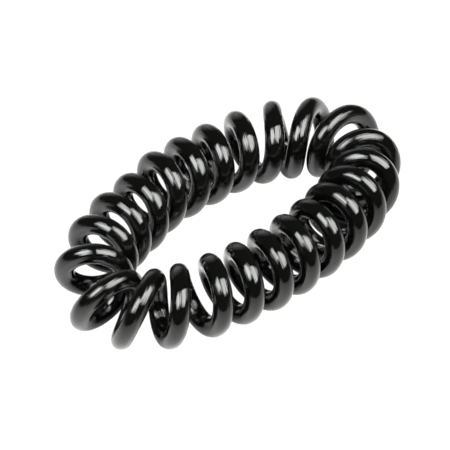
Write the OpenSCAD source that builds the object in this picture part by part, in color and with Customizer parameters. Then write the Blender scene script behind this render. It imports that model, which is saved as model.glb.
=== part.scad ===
// Spiral hair tie: one round plastic cord, wound into a coil whose two ends are joined to make a ring.
// The ring lies flat, squeezed to a long oval, and each turn of the coil has settled in its own way.
// The origin is in the middle of the ring's underside, with the long way of the oval along X.

/* [Cord] */
// Diameter of the round cord
cord_d = 3.5; // [3.2:0.1:4.2]

/* [Coil] */
// Outer diameter of the coil that the cord is wound into
coil_d = 13.8; // [11:0.1:15]
// Gap left for each cord where the turns crowd together, at the inner side of the bends
turn_gap = 0.15; // [0.1:0.05:1]
// Angle round the coil at which the cord passes the first turn's station
start_angle = -16; // [-20:1:10]

/* [Smoothness] */
// Flat sides round the cord
cord_sides = 12; // [8:1:12]
// Rings of corners along each turn
rings_per_turn = 20; // [12:1:20]

/* [Hidden] */

// How the turns lie, a row for each turn and in order round the ring. The columns are:
// along    where the turn is along the ring, as a share of half the ring's length
// across   where it is across the ring, as a share of half the ring's width
// lift     how far it rides above its neighbours, as a share of the cord's diameter
// lean     how far its top leans forwards round the ring, in degrees
// skew     how far its inner side is turned forwards round the ring, in degrees
// girth    its own diameter, as a share of the coil's
TURNS = [
    [-1.00, -0.16, -0.45,   5,   6, 1.02],
    [-0.89, -0.62,  0.35,   9,  -7, 1.01],
    [-0.70, -0.83,  0.20,  -4, -12, 1.03],
    [-0.45, -0.92,  0.10,  -2,  -1, 1.01],
    [-0.27, -0.96, -0.05,   2,  -4, 1.00],
    [-0.06, -0.98, -0.10,  -3,   1, 1.02],
    [ 0.13, -0.97, -0.10,   0,  -1, 1.00],
    [ 0.32, -0.94, -0.05,   4,   4, 0.99],
    [ 0.50, -0.88,  0.00,   4,   6, 1.00],
    [ 0.66, -0.79,  0.15,   7,  11, 1.01],
    [ 0.82, -0.65,  0.20,  14,  15, 0.97],
    [ 0.98, -0.33, -0.20,   8,  11, 0.96],
    [ 1.00,  0.17,  0.15,   2, -11, 1.06],
    [ 0.85,  0.58, -0.25,   0,  -8, 1.04],
    [ 0.67,  0.78, -0.10,  -3,  -8, 1.03],
    [ 0.45,  0.90, -0.05,  -8,   2, 1.01],
    [ 0.25,  0.95,  0.00,  -9,   2, 0.99],
    [ 0.07,  0.98, -0.10,  -6,   6, 1.02],
    [-0.15,  0.98,  0.15, -15,  -1, 0.98],
    [-0.32,  0.91, -0.35, -10,   3, 0.97],
    [-0.53,  0.83, -0.25, -10,   6, 1.01],
    [-0.71,  0.68, -0.25,  -7,   5, 1.00],
    [-0.92,  0.40, -0.05,  -8,   9, 1.00],
];

turns = len(TURNS);
cord_r = cord_d / 2;
// Length of all the cords laid side by side, as they are where the turns crowd together
crowd_l = turns * (cord_d + turn_gap);
// Length and width of the loop that the inner side of the coil makes, as shares of that length
LOOP_SHARES = [0.56, 0.20];
// Length and width of the ring, measured to the middle of the coil
ring_l = LOOP_SHARES[0] * crowd_l + coil_d - cord_d;
ring_w = LOOP_SHARES[1] * crowd_l + coil_d - cord_d;
half_ring = [ring_l / 2, ring_w / 2];
// Step, in turns, over which a direction round the ring is measured
heading_step = 0.01;

function unit(v) = v / norm(v);

// The table's columns by name, in one row or in a blend of rows
function along(lay) = lay[0];
function across(lay) = lay[1];
function lift(lay) = lay[2];
function lean(lay) = lay[3];
function skew(lay) = lay[4];
function girth(lay) = lay[5];

// Shares of four neighbouring rows on a smooth curve (a cubic B-spline), for t from 0 to 1
function curve_shares(t) = [
    pow(1 - t, 3),
    3 * pow(t, 3) - 6 * pow(t, 2) + 4,
    -3 * pow(t, 3) + 3 * pow(t, 2) + 3 * t + 1,
    pow(t, 3)
] / 6;

// One row of the table, counted round and round the ring
function turn_row(i) = TURNS[(i + turns) % turns];

// The table's six columns at any place, counted in turns from the first row
function lay_at(place) =
    let (i = floor(place), share = curve_shares(place - i))
    share[0] * turn_row(i - 1) + share[1] * turn_row(i) + share[2] * turn_row(i + 1) + share[3] * turn_row(i + 2);

// The middle of the coil in plan, and the direction in which the ring runs there
function ring_point(place) =
    let (lay = lay_at(place))
    [along(lay) * half_ring.x, across(lay) * half_ring.y];
function ring_heading(place) = unit(ring_point(place + heading_step) - ring_point(place - heading_step));

// The middle of the coil in space, at the height where the lowest turn would touch the ground
function coil_middle(place) =
    let (plan = ring_point(place))
    [plan.x, plan.y, coil_d / 2 + lift(lay_at(place)) * cord_d];

// The middle of the cord: once round the coil for each turn, top first and then the inner side
function cord_point(place) =
    let (
        lay = lay_at(place),
        forwards = ring_heading(place),
        outwards = [forwards.y, -forwards.x],
        coil_r = (coil_d * girth(lay) - cord_d) / 2,
        angle = 360 * place + start_angle,
        upper = coil_r * cos(angle),
        inner = coil_r * sin(angle),
        plan = upper * sin(lean(lay)) * forwards
            - inner * (cos(skew(lay)) * outwards + sin(skew(lay)) * forwards)
    )
    coil_middle(place) + [plan.x, plan.y, upper * cos(lean(lay))];

ring_count = turns * rings_per_turn;
middles = [for (k = [0 : ring_count - 1]) coil_middle(k / rings_per_turn)];
cord_path = [for (k = [0 : ring_count - 1]) cord_point(k / rings_per_turn)];

// Corners of one ring round the cord, square to its path and counted from the side that faces out of the coil
function cord_ring(k) =
    let (
        here = cord_path[k],
        ahead = unit(cord_path[(k + 1) % ring_count] - cord_path[(k + ring_count - 1) % ring_count]),
        spoke = here - middles[k],
        out = unit(spoke - (spoke * ahead) * ahead),
        side = cross(ahead, out)
    )
    [for (j = [0 : cord_sides - 1])
        let (angle = 360 * j / cord_sides)
        here + cord_r * (cos(angle) * out + sin(angle) * side)];

corners = [for (k = [0 : ring_count - 1]) each cord_ring(k)];

// Two triangles between neighbouring rings and sides, all the way round the ring and the cord
cord_faces = [for (k = [0 : ring_count - 1], j = [0 : cord_sides - 1])
    let (
        here = k * cord_sides,
        next = (k + 1) % ring_count * cord_sides,
        turned = (j + 1) % cord_sides
    )
    each [
        [here + j, next + j, next + turned],
        [here + j, next + turned, here + turned]
    ]];

// The corners' own box, from which the origin is set
lowest = [for (axis = [0 : 2]) min([for (corner = corners) corner[axis]])];
highest = [for (axis = [0 : 2]) max([for (corner = corners) corner[axis]])];
origin = [(lowest.x + highest.x) / 2, (lowest.y + highest.y) / 2, lowest.z];

// The whole coiled ring, one closed tube
module coil() {
    color("#161616")
        translate(-origin)
            polyhedron(points = corners, faces = cord_faces, convexity = 12);
}

coil();
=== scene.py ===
# %% [markdown]
# # A spiral hair tie
#
# The real object is one glossy black plastic cord. It is wound into a coil, and its two ends are joined, so
# that the coil closes into a springy ring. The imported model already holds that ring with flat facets, for
# its sizes and for collision. This lesson makes the smooth, finished cord on the same path, and then the
# small studio that its gloss needs: a shiny black thing shows hardly any colour of its own, so nearly all
# that we see on it is the room around it.

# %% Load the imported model
import math

import bpy
import numpy as np
from mathutils import Matrix, Vector


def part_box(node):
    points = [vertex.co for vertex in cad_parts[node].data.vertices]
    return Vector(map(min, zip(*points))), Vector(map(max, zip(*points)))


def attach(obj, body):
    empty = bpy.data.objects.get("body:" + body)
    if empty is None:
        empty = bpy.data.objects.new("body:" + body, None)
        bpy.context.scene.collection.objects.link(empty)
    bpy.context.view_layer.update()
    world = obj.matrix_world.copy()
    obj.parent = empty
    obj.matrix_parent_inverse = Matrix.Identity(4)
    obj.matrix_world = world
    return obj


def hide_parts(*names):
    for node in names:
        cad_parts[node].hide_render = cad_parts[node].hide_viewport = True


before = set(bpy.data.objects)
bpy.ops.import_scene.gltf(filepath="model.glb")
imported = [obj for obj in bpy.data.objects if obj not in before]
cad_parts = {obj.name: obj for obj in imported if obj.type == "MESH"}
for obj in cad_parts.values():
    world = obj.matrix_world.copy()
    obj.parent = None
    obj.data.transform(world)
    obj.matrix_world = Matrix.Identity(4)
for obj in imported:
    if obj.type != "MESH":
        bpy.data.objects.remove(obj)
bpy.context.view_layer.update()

MM = 0.001
coil_low, coil_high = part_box("coil")
print("packed ring, mm:", [round(side / MM, 2) for side in coil_high - coil_low])

# %% [markdown]
# ## How the turns lie
#
# A machine winds every turn alike, but a ring that has been stretched and dropped on a table settles
# unevenly. One way to copy that is a long list of points along the cord. A better one is a short table with
# a row for each turn, which says where that turn stands on the oval and how it tips, and a formula that
# winds the cord through the rows. The table and the sizes are the same as in the CAD source, so this cord
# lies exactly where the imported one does.

# %% Sizes of the cord and the coil
CORD_D = 3.5 * MM
COIL_D = 13.8 * MM
TURN_GAP = 0.15 * MM
START_ANGLE = math.radians(-16)
LOOP_SHARES = (0.56, 0.20)
HEADING_STEP = 0.01

# %% The table of turns
# along and across are shares of half the ring's length and width, lift is a share of the cord's diameter,
# lean and skew are in degrees, and girth is a share of the coil's diameter.
ALONG, ACROSS, LIFT, LEAN, SKEW, GIRTH = range(6)
TURNS = np.array([
    [-1.00, -0.16, -0.45,   5,   6, 1.02],
    [-0.89, -0.62,  0.35,   9,  -7, 1.01],
    [-0.70, -0.83,  0.20,  -4, -12, 1.03],
    [-0.45, -0.92,  0.10,  -2,  -1, 1.01],
    [-0.27, -0.96, -0.05,   2,  -4, 1.00],
    [-0.06, -0.98, -0.10,  -3,   1, 1.02],
    [ 0.13, -0.97, -0.10,   0,  -1, 1.00],
    [ 0.32, -0.94, -0.05,   4,   4, 0.99],
    [ 0.50, -0.88,  0.00,   4,   6, 1.00],
    [ 0.66, -0.79,  0.15,   7,  11, 1.01],
    [ 0.82, -0.65,  0.20,  14,  15, 0.97],
    [ 0.98, -0.33, -0.20,   8,  11, 0.96],
    [ 1.00,  0.17,  0.15,   2, -11, 1.06],
    [ 0.85,  0.58, -0.25,   0,  -8, 1.04],
    [ 0.67,  0.78, -0.10,  -3,  -8, 1.03],
    [ 0.45,  0.90, -0.05,  -8,   2, 1.01],
    [ 0.25,  0.95,  0.00,  -9,   2, 0.99],
    [ 0.07,  0.98, -0.10,  -6,   6, 1.02],
    [-0.15,  0.98,  0.15, -15,  -1, 0.98],
    [-0.32,  0.91, -0.35, -10,   3, 0.97],
    [-0.53,  0.83, -0.25, -10,   6, 1.01],
    [-0.71,  0.68, -0.25,  -7,   5, 1.00],
    [-0.92,  0.40, -0.05,  -8,   9, 1.00],
])
turns = len(TURNS)
crowd_l = turns * (CORD_D + TURN_GAP)
half_ring = np.array([share * crowd_l + COIL_D - CORD_D for share in LOOP_SHARES]) / 2
print(turns, "turns, oval to the middle of the coil, mm:", np.round(2 * half_ring / MM, 1))

# %% [markdown]
# ## The path of the cord
#
# A place on the ring is counted in turns from the first row, so place 2.5 is half-way between the third and
# the fourth turn. Between the rows, a cubic B-spline blends four neighbours, which keeps every bend smooth.
# At each place the cord stands off the middle of the coil like the end of a clock's hand, and the hand goes
# once round per turn.

# %% Blend the rows of the table
def lay_at(places):
    """The table's columns at any places.

    With t as how far a place is past its row, the four rows around it have the shares (1 - t)^3,
    3t^3 - 6t^2 + 4, -3t^3 + 3t^2 + 3t + 1 and t^3, each over 6."""
    row = np.floor(places).astype(int)
    t = (places - row)[:, None]
    shares = [(1 - t) ** 3, 3 * t**3 - 6 * t**2 + 4, -3 * t**3 + 3 * t**2 + 3 * t + 1, t**3]
    return sum(share * TURNS[(row + step) % turns] for step, share in zip((-1, 0, 1, 2), shares)) / 6


# %% Follow the middle of the coil and the cord
def unit(vectors):
    """Each row of an array, made one long."""
    return vectors / np.linalg.norm(vectors, axis=1, keepdims=True)


def coil_and_cord(places):
    """The middle of the coil and the middle of the cord at each place.

    The coil's middle is the blended row times half the ring. The cord is off it by a hand of the coil's
    radius: its cosine goes up, leaning forwards by lean, and its sine goes to the ring's inner side, turned
    by skew."""
    lay = lay_at(places)
    step = lay_at(places + HEADING_STEP) - lay_at(places - HEADING_STEP)
    forwards = unit(step[:, :2] * half_ring)
    outwards = np.stack([forwards[:, 1], -forwards[:, 0]], axis=1)
    lean = np.radians(lay[:, LEAN, None])
    skew = np.radians(lay[:, SKEW, None])
    coil_r = (COIL_D * lay[:, GIRTH, None] - CORD_D) / 2
    angle = 2 * math.pi * places[:, None] + START_ANGLE
    upper = coil_r * np.cos(angle)
    inner = coil_r * np.sin(angle)
    plan = upper * np.sin(lean) * forwards - inner * (np.cos(skew) * outwards + np.sin(skew) * forwards)
    height = COIL_D / 2 + lay[:, LIFT, None] * CORD_D
    middle = np.hstack([lay[:, :2] * half_ring, height])
    return middle, middle + np.hstack([plan, upper * np.cos(lean)])


# %% [markdown]
# ## The skin of the cord
#
# The surface is a profile carried along a path. Its two parameters are how far along the cord we are and how
# far round it. A curve object with a bevel would give a round cord too, but worked out one by one the grid
# also gives each corner its own UV place, along and round the cord, and the material needs that for its fine
# lengthwise lines.

# %% Work out the corners of the skin
def cord_skin(rings_per_turn, sides):
    """Corners of the cord's surface, as an array of rings, sides and coordinates.

    corner = path + r (cos a * out + sin a * side). Ahead is the direction from the ring before to the ring
    after, out is the hand from the coil's middle made square to it, and side is ahead x out."""
    places = np.arange(turns * rings_per_turn) / rings_per_turn
    middle, path = coil_and_cord(places)
    ahead = unit(np.roll(path, -1, axis=0) - np.roll(path, 1, axis=0))
    spoke = path - middle
    out = unit(spoke - np.sum(spoke * ahead, axis=1, keepdims=True) * ahead)
    side = np.cross(ahead, out)
    a = 2 * math.pi * np.arange(sides) / sides
    across = np.cos(a)[None, :, None] * out[:, None, :] + np.sin(a)[None, :, None] * side[:, None, :]
    return path[:, None, :] + CORD_D / 2 * across


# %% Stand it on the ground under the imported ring
RINGS_PER_TURN = 84
SIDES = 48


def stand_on_ground(corners):
    """Moves the corners so that their box is centred on the origin and its lowest point is at height 0."""
    low = corners.min(axis=(0, 1))
    high = corners.max(axis=(0, 1))
    return corners - np.array([(low[0] + high[0]) / 2, (low[1] + high[1]) / 2, low[2]])


skin = stand_on_ground(cord_skin(RINGS_PER_TURN, SIDES))
cord_l = np.linalg.norm(np.diff(skin.mean(axis=1), axis=0, append=skin[:1].mean(axis=1)), axis=1).sum()
print("smooth ring, mm:", np.round(np.ptp(skin, axis=(0, 1)) / MM, 2), " cord length:", round(cord_l / MM))


# %% Put the skin into a mesh
def closed_tube(name, corners):
    """A mesh of four-sided faces between neighbouring rings and sides, closed both ways round.

    Each face goes to the next side first and then to the next ring, so that it points out of the cord. The UV
    map has the share of the way along the cord in U and the share of the way round it in V."""
    rings, sides = corners.shape[:2]
    ring = np.arange(rings)[:, None]
    side = np.arange(sides)[None, :]
    steps = np.array([(0, 0), (0, 1), (1, 1), (1, 0)])
    ring_of = ring[..., None] + steps[:, 0]
    side_of = side[..., None] + steps[:, 1]
    faces = (ring_of % rings) * sides + side_of % sides
    mesh = bpy.data.meshes.new(name)
    mesh.from_pydata(corners.reshape(-1, 3).tolist(), [], faces.reshape(-1, 4).tolist())
    uv = np.stack(np.broadcast_arrays(ring_of / rings, side_of / sides), axis=-1)
    mesh.uv_layers.new(name="cord_skin").data.foreach_set("uv", uv.astype(np.float32).ravel())
    mesh.polygons.foreach_set("use_smooth", np.ones(rings * sides, bool))
    mesh.update()
    piece = bpy.data.objects.new(name, mesh)
    bpy.context.scene.collection.objects.link(piece)
    return piece


coil = closed_tube("coiled_cord", skin)
print("faces:", len(coil.data.polygons))

# %% [markdown]
# ## Glossy black plastic
#
# The cord is drawn out of black thermoplastic and comes out nearly as smooth as glass. Such a skin shows two
# things at once: its own colour, which is so dark here that it hardly counts, and a mirror image of the
# room, faint where we look straight at it and strong along the edges. A mirror and a dull black could be
# mixed by hand for that. One Principled shader does it by itself, with a near-black base colour, a low
# roughness and an index of refraction of 1.5, which makes the mirror return 4 parts in 100 head on and
# nearly everything at the rim.
#
# Drawing leaves fine lines along the cord too, and they fray the highlights into strands. Modelled lines
# would need a far finer mesh, so a noise pattern, stretched along the cord, only tips the shading. It is
# read on a circle, with the cosine and sine of the way round the cord, and so it closes without a seam. The
# noise rises as often as it dips, so the bump could stand either way up, and both ways come equally near to
# the photo. It is inverted here, which only moves the strands.

# %% Arithmetic in a material
def math_node(tree, operation, *values):
    """A Math node of that material. Each of its inputs is a plain number or another node's output."""
    node = tree.nodes.new("ShaderNodeMath")
    node.operation = operation
    for socket, value in zip(node.inputs, values):
        if isinstance(value, (int, float)):
            socket.default_value = value
        else:
            tree.links.new(value, socket)
    return node.outputs["Value"]


# %% The plastic's colour and gloss
NEAR_BLACK = (0.0011, 0.0012, 0.0010, 1)
ROUGHNESS = 0.03
REFRACTION = 1.5
plastic = bpy.data.materials.new("black_gloss_plastic")
plastic.use_nodes = True
nodes = plastic.node_tree.nodes
links = plastic.node_tree.links
surface = nodes["Principled BSDF"]
surface.inputs["Base Color"].default_value = NEAR_BLACK
surface.inputs["Roughness"].default_value = ROUGHNESS
surface.inputs["IOR"].default_value = REFRACTION
print("share of light mirrored head on:", round(((REFRACTION - 1) / (REFRACTION + 1)) ** 2, 3))

# %% Fine lines along the cord
# NOISE_R is the radius of the circle in the noise that one round of the cord reads, NOISE_RUN is how far the
# noise is read along the whole cord, and LINE_DEPTH is the relief that it gives.
NOISE_R = 6
NOISE_RUN = 60
NOISE_DETAIL = 3
LINE_DEPTH = 0.07 * MM
uv = nodes.new("ShaderNodeUVMap")
uv.uv_map = "cord_skin"
parts = nodes.new("ShaderNodeSeparateXYZ")
links.new(uv.outputs["UV"], parts.inputs["Vector"])
round_cord = math_node(plastic.node_tree, "MULTIPLY", parts.outputs["Y"], 2 * math.pi)
spot = nodes.new("ShaderNodeCombineXYZ")
for socket, turned in (("X", "COSINE"), ("Y", "SINE")):
    share = math_node(plastic.node_tree, turned, round_cord)
    links.new(math_node(plastic.node_tree, "MULTIPLY", share, NOISE_R), spot.inputs[socket])
links.new(math_node(plastic.node_tree, "MULTIPLY", parts.outputs["X"], NOISE_RUN), spot.inputs["Z"])
lines = nodes.new("ShaderNodeTexNoise")
lines.inputs["Scale"].default_value = 1
lines.inputs["Detail"].default_value = NOISE_DETAIL
links.new(spot.outputs["Vector"], lines.inputs["Vector"])
relief = nodes.new("ShaderNodeBump")
relief.invert = True
relief.inputs["Distance"].default_value = LINE_DEPTH
links.new(lines.outputs["Fac"], relief.inputs["Height"])
links.new(relief.outputs["Normal"], surface.inputs["Normal"])
coil.data.materials.append(plastic)
print("length of the lines, mm, about:", round(cord_l / NOISE_RUN / MM, 1))

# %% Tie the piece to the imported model
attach(coil, "root")
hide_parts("coil")
print(coil.name, "takes the place of the packed coil")

# %% [markdown]
# ## The camera
#
# The photo looks down at the ring from 45 degrees, with the long way of the oval running off to the back
# right. The nearest turns look hardly bigger than the farthest, so the camera stood far off: here it is nine
# lengths of the ring away, with a lens long enough to fill the picture as the photo does. Placing it by eye
# would do for a picture. Directions given as azimuth and elevation are better, because the lamps can be
# placed from the camera's side too.

# %% Directions round the ring
def direction(azimuth, elevation):
    """Unit vector from the ring to a thing at that azimuth and elevation, in degrees.

    Azimuth 0 is on the -Y side and 90 on the +X side: (sin a cos e, -cos a cos e, sin e)."""
    a = math.radians(azimuth)
    e = math.radians(elevation)
    return Vector((math.sin(a) * math.cos(e), -math.cos(a) * math.cos(e), math.sin(e)))


# %% Place the camera
CAMERA_AZIMUTH = -40
CAMERA_ELEVATION = 45
CAMERA_DISTANCE = 635.8 * MM
CAMERA_AIM = Vector((2.97, 4.69, 0.93)) * MM
LENS_MM = 290.6
SENSOR_MM = 36
SEES_TO_M = 100

lens = bpy.data.cameras.new("camera")
lens.lens = LENS_MM
lens.sensor_width = SENSOR_MM
lens.clip_end = SEES_TO_M
camera = bpy.data.objects.new("camera", lens)
bpy.context.scene.collection.objects.link(camera)
bpy.context.scene.camera = camera
back = direction(CAMERA_AZIMUTH, CAMERA_ELEVATION)
camera.location = CAMERA_AIM + CAMERA_DISTANCE * back
camera.rotation_euler = back.to_track_quat("Z", "Y").to_euler()
print("camera at, mm:", [round(value / MM) for value in camera.location])

# %% [markdown]
# ## The white ground
#
# The photo's ground is pure white without a single shadow, but the cord tells another story. Its undersides
# mirror a table two or three times as bright as white paper looks in the picture, and in the middle of the
# ring, where the coil keeps the light off, the same table is dark. So the ring was shot on a real white
# table, and the ground round it was whitened afterwards. One plain floor can't be both. Here the table is a
# matt white sheet that only light and reflections meet, and just on it lies a white ground that only the
# camera sees. A pale dome, for the camera alone too, carries that white on behind the ring in views from
# lower down.
#
# The mirrored table also grows darker away from the ring, as a table does that is lit from close by. Here
# that fall of light is painted into the sheet's own white as a painted pool of light. It has its full value
# as far out as the ring's rim and sinks with the distance from there, which is measured as a share of the
# ring's half length and half width.

# %% Sheets and the dome
TABLE_R = 1200 * MM
DOME_R = 3000 * MM


def flat_disc(name, radius, sides=96):
    """A flat round face at height 0, with its rim at (r cos a, r sin a, 0)."""
    a = 2 * math.pi * np.arange(sides) / sides
    rim = np.stack([radius * np.cos(a), radius * np.sin(a), 0 * a], axis=1)
    mesh = bpy.data.meshes.new(name)
    mesh.from_pydata(rim.tolist(), [], [list(range(sides))])
    disc = bpy.data.objects.new(name, mesh)
    bpy.context.scene.collection.objects.link(disc)
    return disc


def glow(name, strength):
    """A material that only shines, with the same white everywhere."""
    material = bpy.data.materials.new(name)
    material.use_nodes = True
    nodes = material.node_tree.nodes
    nodes.clear()
    shine = nodes.new("ShaderNodeEmission")
    shine.inputs["Strength"].default_value = strength
    out = nodes.new("ShaderNodeOutputMaterial")
    material.node_tree.links.new(shine.outputs["Emission"], out.inputs["Surface"])
    return material


def only_for_camera(piece):
    """Hides a piece from light and from reflections."""
    piece.visible_diffuse = False
    piece.visible_glossy = False
    piece.visible_transmission = False
    piece.visible_shadow = False


# %% The table that the cord mirrors
# Its white is a far white plus a painted pool of light over the distance, which is 1 inside the ring's rim.
WHITE_FAR = 0.21
PAINTED_POOL_WHITE = 0.49
table = flat_disc("table", TABLE_R)
table.visible_camera = False
paper_with_painted_pool = bpy.data.materials.new("matt_white_paper_and_painted_light_pool")
paper_with_painted_pool.use_nodes = True
tree = paper_with_painted_pool.node_tree
sheet = tree.nodes["Principled BSDF"]
sheet.inputs["Roughness"].default_value = 1
sheet.inputs["Specular IOR Level"].default_value = 0
ring_r = half_ring + COIL_D / 2
place = tree.nodes.new("ShaderNodeTexCoord")
in_rings = tree.nodes.new("ShaderNodeVectorMath")
in_rings.operation = "MULTIPLY"
in_rings.inputs[1].default_value = (1 / ring_r[0], 1 / ring_r[1], 0)
off_middle = tree.nodes.new("ShaderNodeVectorMath")
off_middle.operation = "LENGTH"
tree.links.new(place.outputs["Object"], in_rings.inputs[0])
tree.links.new(in_rings.outputs["Vector"], off_middle.inputs[0])
outside = math_node(tree, "MAXIMUM", off_middle.outputs["Value"], 1)
# The pool's part of this white is painted light, not the paper's colour: brightest under the ring.
paper_white_and_painted_pool = math_node(tree, "ADD", WHITE_FAR, math_node(tree, "DIVIDE", PAINTED_POOL_WHITE, outside))
tree.links.new(paper_white_and_painted_pool, sheet.inputs["Base Color"])
table.data.materials.append(paper_with_painted_pool)
print("half the ring, mm:", np.round(ring_r / MM, 1), " white under it:", round(WHITE_FAR + PAINTED_POOL_WHITE, 2))

# %% The white that the camera sees
WHITE = 1.05
OVER_TABLE = 0.01 * MM
white = glow("plain_white", WHITE)
floor = flat_disc("floor", DOME_R)
floor.location.z = OVER_TABLE
bpy.ops.mesh.primitive_uv_sphere_add(segments=48, ring_count=24, radius=DOME_R)
dome = bpy.context.object
dome.name = "dome"
for piece in (floor, dome):
    piece.data.materials.append(white)
    only_for_camera(piece)
print("only for the camera:", floor.name, "and", dome.name)

# %% [markdown]
# ## The lights
#
# On a shiny black thing we see the lamps themselves. Every turn carries the same two bright patches side by
# side. Followed back off the cord, they are two large soft lamps, one on each side of the camera and both
# above it. An area lamp would light the ring as well, but it is a plain rectangle or disc of one strength,
# while the patches are slanted, pointed at one end and a little weaker at the rim. So each lamp is a glowing
# sheet with a few corners of its own, as a soft box looks that is seen askew, and its strength sinks
# smoothly away from its middle. A third and far weaker glow stands low behind the ring and brightens the
# tops of the turns towards their far edges.

# %% A material that glows less towards the rim
def soft_glow(name, core, rim, fade_from, colour):
    """Shines with the strength core as far from the middle as fade_from, and smoothly less to rim at 1.

    Distances are in the sheet's own coordinates, where its half width and half height are 1."""
    cloth = bpy.data.materials.new(name)
    cloth.use_nodes = True
    nodes = cloth.node_tree.nodes
    links = cloth.node_tree.links
    nodes.clear()
    place = nodes.new("ShaderNodeTexCoord")
    off_middle = nodes.new("ShaderNodeVectorMath")
    off_middle.operation = "LENGTH"
    links.new(place.outputs["Object"], off_middle.inputs[0])
    fade = nodes.new("ShaderNodeMapRange")
    fade.interpolation_type = "SMOOTHSTEP"
    for socket, number in (("From Min", fade_from), ("From Max", 1), ("To Min", core), ("To Max", rim)):
        fade.inputs[socket].default_value = number
    links.new(off_middle.outputs["Value"], fade.inputs["Value"])
    shine = nodes.new("ShaderNodeEmission")
    shine.inputs["Color"].default_value = (*colour, 1)
    links.new(fade.outputs["Result"], shine.inputs["Strength"])
    out = nodes.new("ShaderNodeOutputMaterial")
    links.new(shine.outputs["Emission"], out.inputs["Surface"])
    return cloth


# %% Sheets that face the ring
LAMP_DISTANCE = 600 * MM


def lamp_sheet(name, corners, cloth, azimuth, elevation, width, height):
    """A sheet whose corners are shares of its half width and height.

    It stands at that azimuth from the camera's own and that elevation over the floor, in degrees."""
    mesh = bpy.data.meshes.new(name)
    mesh.from_pydata([(x, y, 0) for x, y in corners], [], [list(range(len(corners)))])
    mesh.materials.append(cloth)
    lamp = bpy.data.objects.new(name, mesh)
    bpy.context.scene.collection.objects.link(lamp)
    towards = direction(CAMERA_AZIMUTH + azimuth, elevation)
    facing = towards.to_track_quat("Z", "Y").to_matrix().to_4x4()
    size = Matrix.Diagonal((width / 2, height / 2, 1, 1))
    lamp.matrix_world = Matrix.Translation(towards * LAMP_DISTANCE) @ facing @ size
    lamp.visible_camera = False
    print(name, "at, mm:", [round(value / MM) for value in lamp.matrix_world.translation])


# %% Place the lamps
COOL = (0.98, 1, 0.99)
WARM = (0.99, 1, 0.97)

left_corners = [(0.8, 0.9), (-0.8, 0.7), (-1, -1), (0.7, -0.9)]
left_cloth = soft_glow("left_lamp", core=17, rim=11, fade_from=0.6, colour=COOL)
lamp_sheet(
    "left_lamp", left_corners, left_cloth,
    azimuth=-48.5, elevation=54, width=450 * MM, height=440 * MM
)

right_corners = [(1.4, -0.2), (0, 0.9), (-0.45, 0.3), (-0.3, -0.5), (0.6, -0.6)]
right_cloth = soft_glow("right_lamp", core=14, rim=8, fade_from=0.6, colour=WARM)
lamp_sheet(
    "right_lamp", right_corners, right_cloth,
    azimuth=51, elevation=54.5, width=960 * MM, height=750 * MM
)

round_corners = [(math.cos(a), math.sin(a)) for a in np.radians(range(0, 360, 10))]
back_cloth = soft_glow("back_glow", core=1, rim=0, fade_from=0, colour=COOL)
lamp_sheet(
    "back_glow", round_corners, back_cloth,
    azimuth=198, elevation=7, width=900 * MM, height=900 * MM
)

# %% [markdown]
# ## The room
#
# Even where the cord mirrors neither a lamp nor the table it is not quite black in the photo, because there
# was a dim room all round. A plain grey world stands in for that room. The colours are shown with the
# Standard view, which keeps white as white. The film-like views would turn the white ground grey.

# %% The dim room and the view
ROOM = 0.06
world = bpy.data.worlds.new("studio")
bpy.context.scene.world = world
world.use_nodes = True
world.node_tree.nodes["Background"].inputs["Color"].default_value = (ROOM, ROOM, ROOM, 1)
bpy.context.scene.view_settings.view_transform = "Standard"
print("room's grey:", ROOM, " view:", bpy.context.scene.view_settings.view_transform)
